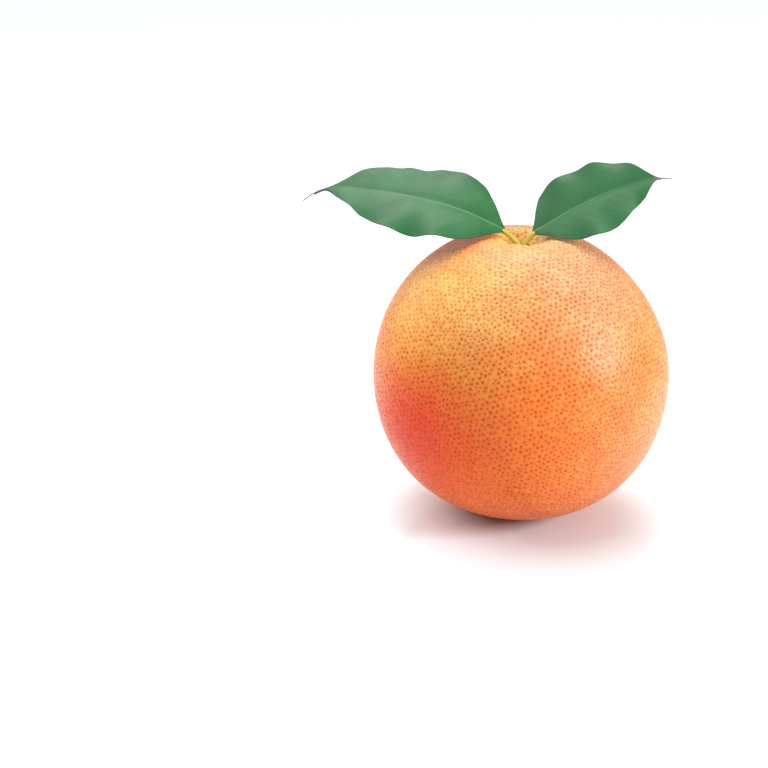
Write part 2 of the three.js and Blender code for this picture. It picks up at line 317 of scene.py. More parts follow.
# Camera. The photograph's frame is 768 pixels square.
FRAME_SIZE = 768
LENS = 85.0
SENSOR = 36.0
CAMERA_TILT = 20.0  # degrees above the horizon
FRUIT_AT = (520.5, 371.0)  # where the fruit's middle lies in the frame, in pixels
FRUIT_SEEN_RADIUS = 147.3  # pixels
NEAREST_SEEN = 0.01  # metres
FARTHEST_SEEN = 50

# Light and floor. Places and sizes here are in metres, and a sun's width is in degrees.
SUNS = [
    dict(name="overhead", place=(-0.4, 0.32, 0.88), width=96, strength=3.35),
    dict(name="behind", place=(-0.06, 0.47, 0.88), width=28, strength=1.0),
]
SOFTBOX = dict(name="right", place=(1.1, -0.34, 0.48), width=0.11, height=0.4, power=13.8)
SKY_COLOUR = (0.98, 1, 1.03, 1)
SKY_STRENGTH = 0.36
FLOOR_HALF_WIDTH = 4.0
FLOOR_DROP = 0.0002  # keeps the floor just below the seat


def linear(red, green, blue):
    """A display colour, 0 to 255, as linear light."""
    def channel(value):
        share = value / 255
        return share / 12.92 if share <= 0.04045 else ((share + 0.055) / 1.055) ** 2.4

    return (channel(red), channel(green), channel(blue), 1.0)


def ease(value, low, high):
    share = np.clip((value - low) / (high - low), 0, 1)
    return share * share * (3 - 2 * share)


def unit(vectors):
    return vectors / np.linalg.norm(vectors, axis=-1, keepdims=True)


# Meshes

def make_piece(name, points, faces, material, attributes, node):
    """A smooth mesh of points in millimetres, which stands for a node of the solids."""
    mesh = bpy.data.meshes.new(name)
    mesh.from_pydata((np.asarray(points) * MM).tolist(), [], np.asarray(faces).tolist())
    for key, values in attributes.items():
        values = np.asarray(values, np.float32)
        kind = "FLOAT" if values.ndim == 1 else "FLOAT_COLOR"
        layer = mesh.attributes.new(key, kind, "POINT")
        layer.data.foreach_set("value" if values.ndim == 1 else "color", values.ravel())
    mesh.polygons.foreach_set("use_smooth", [True] * len(mesh.polygons))
    mesh.materials.append(material)
    mesh.validate()
    piece = bpy.data.objects.new(name, mesh)
    bpy.context.scene.collection.objects.link(piece)
    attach(piece, "root")
    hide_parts(node)
    return piece


def ring_faces(ring_count, columns, first=0):
    """Faces of a closed tube of rings, capped by a point before the first ring and one after the last."""
    faces = []
    start, end = first, first + 1 + ring_count * columns
    at = lambda ring, column: first + 1 + ring * columns + column % columns
    for c in range(columns):
        faces.append((start, at(0, c), at(0, c + 1)))
        faces.append((end, at(ring_count - 1, c + 1), at(ring_count - 1, c)))
    for r in range(ring_count - 1):
        for c in range(columns):
            low, high = at(r, c), at(r, c + 1)
            far_low, far_high = at(r + 1, c), at(r + 1, c + 1)
            faces.append((low, far_low, far_high))
            faces.append((low, far_high, high))
    return faces


# Fruit

def plain_radius(polar, azimuth):
    slant = np.sin(2 * polar) ** 2
    upper = FRUIT_RADIUS - slant * (SHOULDER_LOSS + SHOULDER_LEAN * np.cos(azimuth))
    lower = FRUIT_RADIUS + HAUNCH * slant - BASE_LOSS * np.cos(polar) ** BASE_NARROWNESS
    return np.where(polar < math.pi / 2, upper, lower)


SEAT_POLAR = math.pi - math.asin(SEAT_RADIUS / FRUIT_RADIUS)
FRUIT_CENTRE = -float(plain_radius(SEAT_POLAR, 0.0)) * math.cos(SEAT_POLAR)


def hollow_depth(out):
    pit = PIT_DEPTH * np.exp(-((out / PIT_WIDTH) ** 2))
    return pit + BASIN_DEPTH * np.exp(-((out / BASIN_WIDTH) ** 2))


def furrow_depth(out, azimuth):
    crease = ((1 + np.cos(FURROWS * azimuth + FURROW_WANDER * np.sin(2 * azimuth))) / 2) ** 2
    return FURROW_DEPTH * crease * np.exp(-(((out - FURROW_MIDDLE) / FURROW_SPREAD) ** 2))


def scar_share(out, below):
    return np.where(below, np.exp(-((out / SCAR_RADIUS) ** SCAR_EDGE)), 0)


def skin_at(directions):
    """The skin's points in some directions from the fruit's middle."""
    directions = unit(directions)
    polar = np.arccos(np.clip(directions[:, 2], -1, 1))
    azimuth = np.arctan2(directions[:, 1], directions[:, 0])
    across = np.sin(polar)
    radius = plain_radius(polar, azimuth)
    for lobes, turn, height in SWELLS:
        radius = radius + height * across ** lobes * np.cos(lobes * azimuth + turn)
    out = radius * across
    drawn_in = np.where(polar < math.pi / 2, hollow_depth(out) + furrow_depth(out, azimuth), 0)
    height = np.maximum(FRUIT_CENTRE + radius * np.cos(polar) - drawn_in, 0)
    height = height + SCAR_DEPTH * scar_share(out, directions[:, 2] < 0)
    return np.stack([out * np.cos(azimuth), out * np.sin(azimuth), height], 1)


def outward_at(directions):
    """The skin's outward normals in some directions."""
    upright = np.abs(directions[:, 2:3]) >= UPRIGHT
    helper = np.where(upright, [[1.0, 0.0, 0.0]], [[0.0, 0.0, 1.0]])
    first = unit(np.cross(helper, directions))
    second = np.cross(directions, first)
    middle = skin_at(directions)
    along_first = skin_at(directions + SLOPE_STEP * first) - middle
    along_second = skin_at(directions + SLOPE_STEP * second) - middle
    return unit(np.cross(along_first, along_second))


def icosahedron():
    golden = (1 + math.sqrt(5)) / 2
    corners = []
    for a in (-1, 1):
        for b in (-golden, golden):
            corners += [(0, a, b), (a, b, 0), (b, 0, a)]
    corners = unit(np.array(corners, float))
    edge = min(np.linalg.norm(corners[0] - other) for other in corners[1:])
    slack = 1.1
    count = len(corners)
    near = lambda i, j: np.linalg.norm(corners[i] - corners[j]) < edge * slack
    faces = []
    for i in range(count):
        for j in range(i + 1, count):
            for k in range(j + 1, count):
                if near(i, j) and near(j, k) and near(i, k):
                    facing = np.cross(corners[j] - corners[i], corners[k] - corners[i])
                    faces.append((i, j, k) if np.dot(facing, corners[i]) > 0 else (i, k, j))
    return corners, faces


def divided_sphere(divisions):
    """Directions of an icosahedron's faces cut into small triangles, and those triangles."""
    corners, faces = icosahedron()
    points = []
    triangles = []
    for i, j, k in faces:
        index = {}
        for a in range(divisions + 1):
            for b in range(divisions + 1 - a):
                index[a, b] = len(points)
                rest = divisions - a - b
                points.append(corners[i] * rest + corners[j] * a + corners[k] * b)
        for a in range(divisions):
            for b in range(divisions - a):
                triangles.append((index[a, b], index[a + 1, b], index[a, b + 1]))
                if a + b < divisions - 1:
                    triangles.append((index[a + 1, b], index[a + 1, b + 1], index[a, b + 1]))
    points = unit(np.array(points))
    rounded = np.round(points, MERGE_DIGITS)
    _, keep, same = np.unique(rounded, axis=0, return_index=True, return_inverse=True)
    return points[keep], same.reshape(-1)[np.array(triangles)]


def pored_skin():
    """Points and triangles of the skin, with each point's share of a pore."""
    rng = np.random.default_rng(SEED)
    pores, triangles = divided_sphere(PORE_DIVISIONS)
    for turn, axis in zip(PORE_TURN, "XYZ"):
        pores = pores @ np.array(Matrix.Rotation(turn, 3, axis))
    count = len(pores)
    spacing = math.sqrt(4 * math.pi / count * 2 / math.sqrt(3))
    moves = rng.normal(0, PORE_SCATTER / 2, pores.shape).clip(-PORE_MOVE_LIMIT, PORE_MOVE_LIMIT)
    pores = unit(pores + moves * spacing)
    strength = rng.uniform(*PORE_STRENGTH, count)
    size = PORE_LIP / FRUIT_RADIUS * (PORE_LEAST_SIZE + (1 - PORE_LEAST_SIZE) * strength)

    starts = triangles.reshape(-1)
    ends = np.roll(triangles, -1, axis=1).reshape(-1)
    codes = np.concatenate([starts * count + ends, ends * count + starts])
    edges, lip_index = np.unique(codes, return_inverse=True)
    near, far = edges // count, edges % count
    apart = np.linalg.norm(pores[far] - pores[near], axis=1)
    reach = np.minimum(size[near] / apart, PORE_ROOM)
    lips = unit(pores[near] + (pores[far] - pores[near]) * reach[:, None])
    half = len(starts)
    forth = count + lip_index[:half].reshape(-1, 3)
    back = count + lip_index[half:].reshape(-1, 3)

    middles = unit(pores[triangles].mean(1))
    directions = np.concatenate([pores, lips, middles])
    crowns = np.full(len(middles), SKIN_CROWN)
    rise = np.concatenate([-PORE_DEPTH * strength, np.zeros(len(lips)), crowns])
    points = skin_at(directions) + outward_at(directions) * rise[:, None]
    points[:, 2] = np.maximum(points[:, 2], 0)

    centre = count + len(lips) + np.arange(len(triangles))
    faces = []
    for corner in range(3):
        before = (corner + 2) % 3
        faces.append(np.stack([triangles[:, corner], forth[:, corner], back[:, before]], 1))
        faces.append(np.stack([centre, forth[:, corner], back[:, corner]], 1))
        after = (corner + 1) % 3
        faces.append(np.stack([centre, back[:, corner], forth[:, after]], 1))
    pore = np.concatenate([strength, PORE_LIP_SHARE * strength[near], np.zeros(len(middles))])
    return points, np.concatenate(faces), pore


def heading(azimuth, height):
    """A direction from two angles in degrees: round +Z from +X, and above the horizon."""
    a, h = math.radians(azimuth), math.radians(height)
    return np.array([math.cos(h) * math.cos(a), math.cos(h) * math.sin(a), math.sin(h)])


def rind_tints_and_painted_light(points):
    directions = unit(points - np.array([0, 0, FRUIT_CENTRE]))
    tints = np.tile(linear(*RIND_BASE), (len(points), 1))
    for towards, width, colour, strength in PATCHES:
        angle = np.degrees(np.arccos(np.clip(directions @ heading(*towards), -1, 1)))
        share = (strength * np.exp(-((angle / width) ** 2)))[:, None]
        tints = tints * (1 - share) + np.array(linear(*colour)) * share
    return tints * np.array(RIND_PALENESS)


def make_fruit(material):
    points, faces, pore = pored_skin()
    out = np.hypot(points[:, 0], points[:, 1])
    scar = scar_share(out, points[:, 2] < FRUIT_CENTRE)
    directions = unit(points - np.array([0, 0, FRUIT_CENTRE]))
    crease = np.exp(-((directions - heading(*CREASES_AT)) ** 2).sum(1) / CREASES_SPREAD**2)
    attributes = {"tint_and_painted_light": rind_tints_and_painted_light(points), "pore": pore, "scar": scar, "crease": crease}
    return make_piece("pomelo_skin", points, faces, material, attributes, "fruit")


# Calyx and stalk

def floor_height(out):
    return FRUIT_CENTRE + np.sqrt(FRUIT_RADIUS**2 - out**2) - hollow_depth(out)


CALYX_TOP = float(floor_height(STALK_RADIUS + STALK_FLARE)) + GAP + CALYX_THICK
STALK_FOOT = CALYX_TOP + GAP


def make_calyx(material):
    rng = np.random.default_rng(SEED + 1)
    azimuth = np.arange(CALYX_COLUMNS) / CALYX_COLUMNS * 2 * math.pi
    lobe = np.round(azimuth / (2 * math.pi) * CALYX_LOBES).astype(int) % CALYX_LOBES
    reach = rng.uniform(*CALYX_REACH, CALYX_LOBES)[lobe]
    curl = rng.uniform(*CALYX_CURL, CALYX_LOBES)[lobe]
    point_out = np.abs(np.cos(CALYX_LOBES * azimuth / 2))
    star = np.cos(CALYX_LOBES * azimuth)
    ragged = rng.normal(0, CALYX_RAGGED, CALYX_COLUMNS)
    shares = np.linspace(1 / CALYX_RINGS, 1, CALYX_RINGS)
    top, under = [], []
    for share in shares:
        blend = share**3
        out = share * CALYX_RADIUS * (1 + CALYX_LOBE_SIZE * star * share)
        out = out * (1 + blend * ((reach - 1) * point_out + ragged))
        floor = floor_height(out) + GAP * (1 - CALYX_SETTLING * share)
        thick = CALYX_THICK + (CALYX_EDGE - CALYX_THICK) * share
        thin = thick * (1 - CALYX_THINNING * blend)
        lift = curl * blend * point_out**2
        ridge = CALYX_RIDGE * star * np.sin(math.pi * share)
        height = np.maximum(floor + thin, CALYX_TOP * (1 - blend)) + lift + ridge * share
        top.append(np.stack([out * np.cos(azimuth), out * np.sin(azimuth), height], 1))
        under.append(np.stack([out * np.cos(azimuth), out * np.sin(azimuth), floor + lift], 1))
    body = np.concatenate([np.concatenate(top), np.concatenate(under[::-1])])
    start = np.array([[0, 0, CALYX_TOP]])
    end = np.array([[0, 0, float(floor_height(0.0)) + GAP]])
    points = np.concatenate([start, body, end])
    share_of = np.repeat(np.concatenate([shares, shares[::-1]]), CALYX_COLUMNS)
    edge = np.concatenate([[0], share_of, [0]])
    faces = ring_faces(2 * CALYX_RINGS, CALYX_COLUMNS)
    return make_piece("pomelo_calyx", points, faces, material, {"edge": edge}, "calyx")


def stalk_rings(ribs):
    """Radius, height and share of bare wood of each ring, from the foot to the middle of the cut."""
    shaft = STALK_RADIUS - STALK_INSET
    side_height = STALK_HEIGHT - STALK_BEVEL
    rings = []
    for row in range(STALK_SIDE_ROWS + 1):
        share = row / STALK_SIDE_ROWS
        flare = STALK_FLARE * (1 - share) ** 3
        knot = KNOT_HEIGHT * math.sin(share * KNOT_PACE) * (1 - share)
        rings.append((shaft + flare + knot + ribs, share * side_height, 0.0))
    for row in range(STALK_CUT_ROWS):
        share = row / (STALK_CUT_ROWS - 1)
        turn = min(share / BEVEL_SHARE, 1) * math.pi / 2
        inwards = max(share - BEVEL_SHARE, 0) / (1 - BEVEL_SHARE)
        radius = shaft + ribs * (1 - share) - STALK_BEVEL * (1 - math.cos(turn))
        dish = CUT_DISH * math.sin(math.pi * inwards) + CUT_RING_HEIGHT * math.cos(inwards * CUT_RING_PACE)
        height = side_height + STALK_BEVEL * math.sin(turn) - dish * inwards
        wood = 1.0 if share > CUT_START else CUT_EDGE_WOOD
        rings.append((radius * (1 - CUT_CLOSING * inwards), height, wood))
    return rings


def make_stalk(material):
    rng = np.random.default_rng(SEED + 2)
    azimuth = np.arange(STALK_COLUMNS) / STALK_COLUMNS * 2 * math.pi
    wander = BARK_RIB_WANDER * np.sin(BARK_RIB_WANDERS * azimuth)
    ribs = BARK_RIB_HEIGHT * np.cos(BARK_RIBS * azimuth + wander)
    ribs = ribs + rng.normal(0, BARK_RAGGED, STALK_COLUMNS)
    rings = stalk_rings(ribs)[::-1]
    body = []
    for radius, height, _ in rings:
        level = np.full(STALK_COLUMNS, STALK_FOOT + height)
        body.append(np.stack([radius * np.cos(azimuth), radius * np.sin(azimuth), level], 1))
    start = np.array([[0, 0, STALK_FOOT + STALK_HEIGHT - CUT_SINK]])
    end = np.array([[0, 0, STALK_FOOT]])
    points = np.concatenate([start, np.concatenate(body), end])
    marks = np.concatenate([[1.0], np.repeat([wood for _, _, wood in rings], STALK_COLUMNS), [0.0]])
    faces = ring_faces(len(rings), STALK_COLUMNS)
    return make_piece("pomelo_stalk", points, faces, material, {"cut": marks}, "stalk")


# Leaves

def turned(vector, axis, angle):
    return np.array(Matrix.Rotation(angle, 3, Vector(axis)) @ Vector(vector))


def midrib(leaf):
    """Steps along a leaf from its root: share of the blade, point, and the directions left and up."""
    steps = round((leaf["petiole"] + leaf["length"]) / PATH_STEP)
    place = np.array(leaf["root"], float)
    shares, places, lefts, ups = [], [], [], []
    for i in range(steps + 1):
        share = (i * PATH_STEP - leaf["petiole"]) / leaf["length"]
        along = max(share, 0)
        blade_pitch = leaf["pitch"] * max(1 - along, 0) ** leaf["arch"]
        on_blade = ease(share, -PETIOLE_BEND, PETIOLE_BEND)
        hanging = leaf["droop"] * ease(along, DROOP_START, 1)
        on_petiole = leaf["petiole_pitch"] * (1 - on_blade)
        pitch = math.radians(on_petiole + (blade_pitch - hanging) * on_blade)
        yaw = math.radians(leaf["yaw"] + leaf["yaw_bend"] * along)
        forward = np.array(
            [math.cos(pitch) * math.cos(yaw), math.cos(pitch) * math.sin(yaw), math.sin(pitch)]
        )
        level = (-math.sin(yaw), math.cos(yaw), 0)
        left = turned(level, forward, math.radians(leaf["roll"] + leaf["twist"] * along))
        shares.append(share)
        places.append(place.copy())
        lefts.append(left)
        ups.append(np.cross(forward, left))
        place = place + forward * PATH_STEP
    return np.array(shares), np.array(places), np.array(lefts), np.array(ups)


def between(values, shares, wanted):
    return np.stack([np.interp(wanted, shares, values[:, axis]) for axis in range(3)], 1)


def outline(share):
    share = np.clip(share, 0, 1)
    oval = np.sin(math.pi * share**BLADE_LEAN).clip(0) ** BLADE_BLUNTNESS
    foot = 1 - FOOT_LOSS * (1 - ease(share, 0, FOOT_REACH))
    return oval * foot * (1 - NECK_LOSS * ease(share, NECK_START, 1))


def bulge(row, share):
    """What a margin gains on the plain oval, from values at even steps along the blade."""
    values = np.array([0, *row, 0], float)
    place = np.clip(share, 0, 1) * (len(values) - 1)
    step = np.minimum(place.astype(int), len(values) - 2)
    return values[step] + (values[step + 1] - values[step]) * ease(place - step, 0, 1)


def vein_phase(leaf, share, side, half):
    """Whole numbers lie on the side veins, which sweep from the midrib towards the tip."""
    run = half / leaf["length"] * VEIN_SWEEP * (side + VEIN_CURVE * side**2)
    return VEINS * (share - run)


def gutter_depth(share):
    return GUTTER_DEPTH * (1 - share) * ease(share, *GUTTER_FROM)


def make_blade(leaf, path):
    """Rings of a thin blade with its two faces, and what the material needs to know at each point."""
    shares, places, lefts, ups = path
    rows = np.linspace(0, 1, LEAF_ROWS + 1)[:, None]
    spots = between(places, shares, rows[:, 0])[:, None, :]
    left = unit(between(lefts, shares, rows[:, 0]))[:, None, :]
    up = unit(between(ups, shares, rows[:, 0]))[:, None, :]
    even = np.linspace(-1, 1, LEAF_STRIPS + 1)[None, :]
    crowded = np.sin(even * math.pi / 2)
    across = STRIP_CROWDING * crowded + (1 - STRIP_CROWDING) * even
    side = np.abs(across)
    tail_width = TAIL_HALF_WIDTH * (1 - TAIL_TAPER * ease(rows, TAIL_START, 1))
    reach = rows / (1 - leaf["tail"])
    on_right = bulge(leaf["right_bulges"], reach)
    bulges = np.where(across < 0, on_right, bulge(leaf["left_bulges"], reach))
    half = np.maximum(leaf["half_width"] * outline(reach) + bulges, tail_width)
    calm = np.sin(math.pi * rows)
    turn = np.where(across < 0, leaf["wave_turns"][0], leaf["wave_turns"][1])
    swing = np.sin(2 * math.pi * leaf["wave_count"] * rows + turn)
    wave = leaf["wave_height"] * calm * side**WAVE_EDGE * swing
    phase = vein_phase(leaf, rows, side, half)
    broad = ease(half, *VEIN_RELIEF_FROM)
    swell = np.sin(math.pi * phase) ** 2 * side**0.5 * (1 - side**4)
    quilt = VEIN_RELIEF * broad * swell
    curled = np.exp(-(((rows - leaf["curl_share"]) / leaf["curl_spread"]) ** 2))
    curl = np.where(across * leaf["curl_side"] > 0, leaf["curl_rise"] * side**2 * curled, 0)
    gutter = gutter_depth(rows) * np.exp(-side * half / GUTTER_WIDTH)
    ridge = RIDGE_HEIGHT * (1 - RIDGE_LOSS * rows) * np.exp(-((side * half / RIDGE_WIDTH) ** 2))
    trough = half * (leaf["fold"] * side - leaf["recurve"] * side**2)
    lift = trough + wave + curl + quilt + ridge - gutter
    surface = spots + (across * half)[..., None] * left + lift[..., None] * up
    thick = np.maximum(BLADE_THICK * (1 - side**MARGIN_SHARPNESS), MARGIN_THICK) * np.ones_like(half)
    lower = surface - thick[..., None] / 2 * up
    upper = surface + thick[..., None] / 2 * up
    rings = np.concatenate([lower[:, ::-1], upper], 1)
    columns = rings.shape[1]
    start, end = spots[0], spots[-1]
    points = np.concatenate([start, rings.reshape(-1, 3), end])

    def spread(values):
        both = np.concatenate([values[:, ::-1], values], 1)
        return np.concatenate([[both[0, 0]], both.reshape(-1), [both[-1, 0]]])

    shape = surface.shape[:2]
    under = np.concatenate([np.ones(shape), np.zeros(shape)], 1)
    facts = {
        "along": spread(np.broadcast_to(rows, shape)),
        "from_rib": spread(side * half),
        "from_margin": spread((1 - side) * half),
        "vein": spread(phase),
        "under": np.concatenate([[0], under.reshape(-1), [0]]),
        "stem": np.zeros(len(points)),
    }
    return points, ring_faces(LEAF_ROWS + 1, columns), facts


def make_rod(path, first):
    """The petiole and the midrib that stands out of the blade."""
    shares, places, lefts, ups = path
    rows = np.linspace(shares[0], RIB_REACH, ROD_ROWS)
    spots, left, up = (between(values, shares, rows) for values in (places, lefts, ups))
    taper = (rows / RIB_REACH).clip(0) ** RIB_TAPER
    radius = PETIOLE_RADIUS + (RIB_TIP_RADIUS - PETIOLE_RADIUS) * taper
    root_swell = ROOT_SWELL * np.exp(-(((rows - shares[0]) / ROOT_SWELL_LENGTH) ** 2))
    joint_swell = JOINT_SWELL * np.exp(-((rows / JOINT_SWELL_LENGTH) ** 2))
    radius = radius * (1 + root_swell + joint_swell)
    sunk = RIB_SINK + ROD_SINK * radius + gutter_depth(rows.clip(0))
    spots = spots - up * (sunk * ease(rows, *ROD_SINK_FROM))[:, None]
    turn = -np.arange(ROD_SIDES) / ROD_SIDES * 2 * math.pi
    groove = 1 - GROOVE_DEPTH * np.exp(-(((turn - GROOVE_AT) / GROOVE_WIDTH) ** 2))
    reach = radius[:, None] * groove[None, :]
    rings = (
        spots[:, None, :]
        + (reach * np.cos(turn))[..., None] * left[:, None, :]
        + (reach * np.sin(turn))[..., None] * up[:, None, :]
    )
    points = np.concatenate([spots[:1], rings.reshape(-1, 3), spots[-1:]])
    along = np.concatenate([[rows[0]], np.repeat(rows, ROD_SIDES), [rows[-1]]])
    none = np.zeros(len(points))
    facts = {
        "along": along, "from_rib": none, "from_margin": none + FAR_FROM_MARGIN, "vein": none,
        "under": none, "stem": none + 1,
    }
    return points, ring_faces(len(rows), ROD_SIDES, first), facts


def make_leaf(leaf, material):
    path = midrib(leaf)
    points, faces, facts = make_blade(leaf, path)
    rod_points, rod_faces, rod_facts = make_rod(path, len(points))
    points = np.concatenate([points, rod_points])
    faces = faces + rod_faces
    facts = {key: np.concatenate([facts[key], rod_facts[key]]) for key in facts}
    name = leaf["name"]
    return make_piece("pomelo_" + name, points, faces, material, facts, name)


# Materials

# Sockets of a colour mix
MIX_SHARE = 0
MIX_FIRST = 6
MIX_SECOND = 7
MIX_RESULT = 2


class Shader:
    """A material with one Principled shader, and short ways to add the nodes that feed it."""

    def __init__(self, name, **settings):
        self.material = bpy.data.materials.new(name)
        self.material.use_nodes = True
        self.tree = self.material.node_tree
        self.surface = self.tree.nodes["Principled BSDF"]
        for socket, value in settings.items():
            self.surface.inputs[socket.replace("_", " ")].default_value = value
        self.place = self.tree.nodes.new("ShaderNodeTexCoord").outputs["Object"]

    def feed(self, socket, value):
        if isinstance(value, bpy.types.NodeSocket):
            self.tree.links.new(value, socket)
        else:
            socket.default_value = value

    def to(self, name, value):
        self.feed(self.surface.inputs[name], value)

    def value(self, name, output="Fac"):
        """What the mesh says under a name, as a number or, from the output Color, as a colour."""
        node = self.tree.nodes.new("ShaderNodeAttribute")
        node.attribute_name = name
        return node.outputs[output]

    def stretched(self, scale):
        node = self.tree.nodes.new("ShaderNodeMapping")
        node.inputs["Scale"].default_value = scale
        self.tree.links.new(self.place, node.inputs["Vector"])
        return node.outputs["Vector"]

    def noise(self, size, detail=2, roughness=0.5, where=None):
        node = self.tree.nodes.new("ShaderNodeTexNoise")
        node.inputs["Scale"].default_value = 1 / (size * MM)
        node.inputs["Detail"].default_value = detail
        node.inputs["Roughness"].default_value = roughness
        self.tree.links.new(where or self.place, node.inputs["Vector"])
        return node.outputs["Fac"]

    def cells(self, size):
        """How far each point is from the walls of a net of cells."""
        node = self.tree.nodes.new("ShaderNodeTexVoronoi")
        node.feature = "DISTANCE_TO_EDGE"
        node.inputs["Scale"].default_value = 1 / (size * MM)
        self.tree.links.new(self.place, node.inputs["Vector"])
        return node.outputs["Distance"]

    def math(self, operation, first, second=0.0):
        node = self.tree.nodes.new("ShaderNodeMath")
        node.operation = operation
        self.feed(node.inputs[0], first)
        self.feed(node.inputs[1], second)
        return node.outputs[0]

    def span(self, value, low, high, start=0.0, end=1.0):
        """A value's range low to high, eased to start to end."""
        node = self.tree.nodes.new("ShaderNodeMapRange")
        node.interpolation_type = "SMOOTHSTEP"
        node.inputs["From Min"].default_value = low
        node.inputs["From Max"].default_value = high
        node.inputs["To Min"].default_value = start
        node.inputs["To Max"].default_value = end
        self.feed(node.inputs["Value"], value)
        return node.outputs["Result"]

    def mix(self, share, first, second, blend="MIX"):
        node = self.tree.nodes.new("ShaderNodeMix")
        node.data_type = "RGBA"
        node.blend_type = blend
        self.feed(node.inputs[MIX_SHARE], share)
        self.feed(node.inputs[MIX_FIRST], first)
        self.feed(node.inputs[MIX_SECOND], second)
        return node.outputs[MIX_RESULT]

    def cover(self, under, mask, share, colour, blend="MIX"):
        """Lays a display colour over another where a mask is, as strongly as its share."""
        return self.mix(self.math("MULTIPLY", mask, share), under, linear(*colour), blend)

    def tones(self, share, colours):
        """Goes from one display colour to another."""
        return self.mix(share, linear(*colours[0]), linear(*colours[1]))

    def bump(self, height, depth, under=None):
        """Relief of a given depth in millimetres."""
        node = self.tree.nodes.new("ShaderNodeBump")
        node.inputs["Distance"].default_value = depth * MM
        self.tree.links.new(height, node.inputs["Height"])
        if under is not None:
            self.tree.links.new(under, node.inputs["Normal"])
        self.tree.links.new(node.outputs["Normal"], self.surface.inputs["Normal"])
        return node.outputs["Normal"]


def rind_material():
    shader = Shader("rind", IOR=PLANT_IOR, Specular_IOR_Level=RIND_SPECULAR, **RIND_SCATTER)
    blotch = shader.span(shader.noise(BLOTCH_SIZE, detail=3), *SPOTS)
    skin = shader.cover(shader.value("tint_and_painted_light", "Color"), blotch, BLOTCH_SHARE, BLOTCH_COLOUR)
    mottle = shader.span(shader.noise(MOTTLE_SIZE, detail=3, roughness=0.7), *MOTTLE_SPOTS)
    skin = shader.mix(mottle, skin, MOTTLE_GAIN, "MULTIPLY")
    pore = shader.value("pore")
    # Painted light: the crests between pores are painted paler, as if they caught the light.
    painted_crest_light = shader.span(pore, *PAINTED_CREST_LIGHT_FADE, start=1, end=0)
    skin = shader.mix(painted_crest_light, skin, PAINTED_CREST_LIGHT_GAIN, "MULTIPLY")
    dark = shader.span(pore, *PORE_FADE)
    skin = shader.cover(skin, dark, PORE_SHARE, PORE_COLOUR, "MULTIPLY")
    skin = shader.mix(shader.value("scar"), skin, linear(*SCAR_COLOUR))
    shader.to("Base Color", skin)
    gloss = shader.noise(RIND_ROUGHNESS_SIZE)
    shader.to("Roughness", shader.span(gloss, *SOFT_SPOTS, *RIND_ROUGHNESS))
    grain = shader.bump(shader.noise(GRAIN_SIZE, detail=3, roughness=0.6), GRAIN_DEPTH)
    swell = shader.noise(SWELL_SIZE, where=shader.stretched(SWELL_STRETCH))
    swell = shader.bump(swell, SWELL_DEPTH, grain)
    creased = shader.math("MULTIPLY", shader.value("crease"), CREASE_SHARE)
    creased = shader.math("ADD", creased, CREASE_EVERYWHERE)
    crease = shader.noise(CREASE_SIZE, where=shader.stretched(CREASE_STRETCH))
    shader.bump(shader.math("MULTIPLY", crease, creased), CREASE_DEPTH, swell)
    return shader.material


def leaf_material():
    shader = Shader("leaf", IOR=PLANT_IOR, Specular_IOR_Level=LEAF_SPECULAR, **LEAF_SCATTER)
    along = shader.value("along")
    under = shader.value("under")
    tone = shader.span(shader.noise(LEAF_TONE_SIZE, detail=1), *SOFT_SPOTS)
    green = shader.tones(tone, LEAF_TONES)
    to_vein = shader.math("PINGPONG", shader.value("vein"), 0.5)
    vein = shader.span(to_vein, 0, VEIN_WIDTH, start=1, end=0)
    green = shader.cover(green, vein, VEIN_SHOW, VEIN_COLOUR)
    net = shader.span(shader.cells(NET_SIZE), 0, NET_WIDTH, start=1, end=0)
    green = shader.cover(green, net, NET_SHOW, NET_COLOUR)
    near_rib = shader.span(shader.value("from_rib"), *RIB_FADE, start=1, end=0)
    rib_show = shader.span(along, *RIB_RUN, *RIB_SHOW)
    green = shader.cover(green, near_rib, rib_show, RIB_COLOUR)
    margin = shader.span(shader.value("from_margin"), *MARGIN_FADE, start=1, end=0)
    green = shader.cover(green, margin, MARGIN_SHOW, MARGIN_COLOUR)
    green = shader.cover(green, under, UNDERSIDE_SHOW, UNDERSIDE_COLOUR)
    rod = shader.tones(shader.span(along, *ROD_FADE), ROD_TONES)
    green = shader.mix(shader.value("stem"), green, rod)
    green = shader.mix(shader.span(along, *TAIL_FADE), green, linear(*TAIL_COLOUR))
    shader.to("Base Color", green)
    gloss = shader.noise(LEAF_ROUGHNESS_SIZE, detail=1)
    gloss = shader.span(gloss, *SOFT_SPOTS, *LEAF_ROUGHNESS)
    shader.to("Roughness", shader.mix(under, gloss, UNDERSIDE_ROUGHNESS))
    relief = shader.math("ADD", shader.math("MULTIPLY", net, NET_SINK), vein)
    relief = shader.bump(relief, VEIN_DEPTH)
    shader.bump(shader.noise(LEAF_GRAIN_SIZE), LEAF_GRAIN_DEPTH, relief)
    return shader.material


def calyx_material():
    shader = Shader("calyx", Roughness=CALYX_ROUGHNESS, IOR=PLANT_IOR)
    tone = shader.span(shader.noise(CALYX_TONE_SIZE, detail=3), *SPOTS)
    green = shader.tones(tone, CALYX_TONES)
    dry = shader.span(shader.value("edge"), *CALYX_DRY_FADE)
    shader.to("Base Color", shader.mix(dry, green, linear(*CALYX_DRY_COLOUR)))
    shader.bump(shader.noise(CALYX_GRAIN_SIZE, detail=3, roughness=0.6), CALYX_GRAIN_DEPTH)
    return shader.material


def stalk_material():
    shader = Shader("stalk", Roughness=STALK_ROUGHNESS, IOR=PLANT_IOR)
    lengthwise = shader.stretched(BARK_STRETCH)
    grain = shader.noise(BARK_SIZE, detail=3, roughness=0.6, where=lengthwise)
    bark = shader.tones(shader.span(grain, *SPOTS), BARK_TONES)
    wood = shader.tones(shader.span(shader.noise(WOOD_SIZE, detail=3), *SPOTS), WOOD_TONES)
    shader.to("Base Color", shader.mix(shader.value("cut"), bark, wood))
    shader.bump(grain, BARK_DEPTH)
    return shader.material


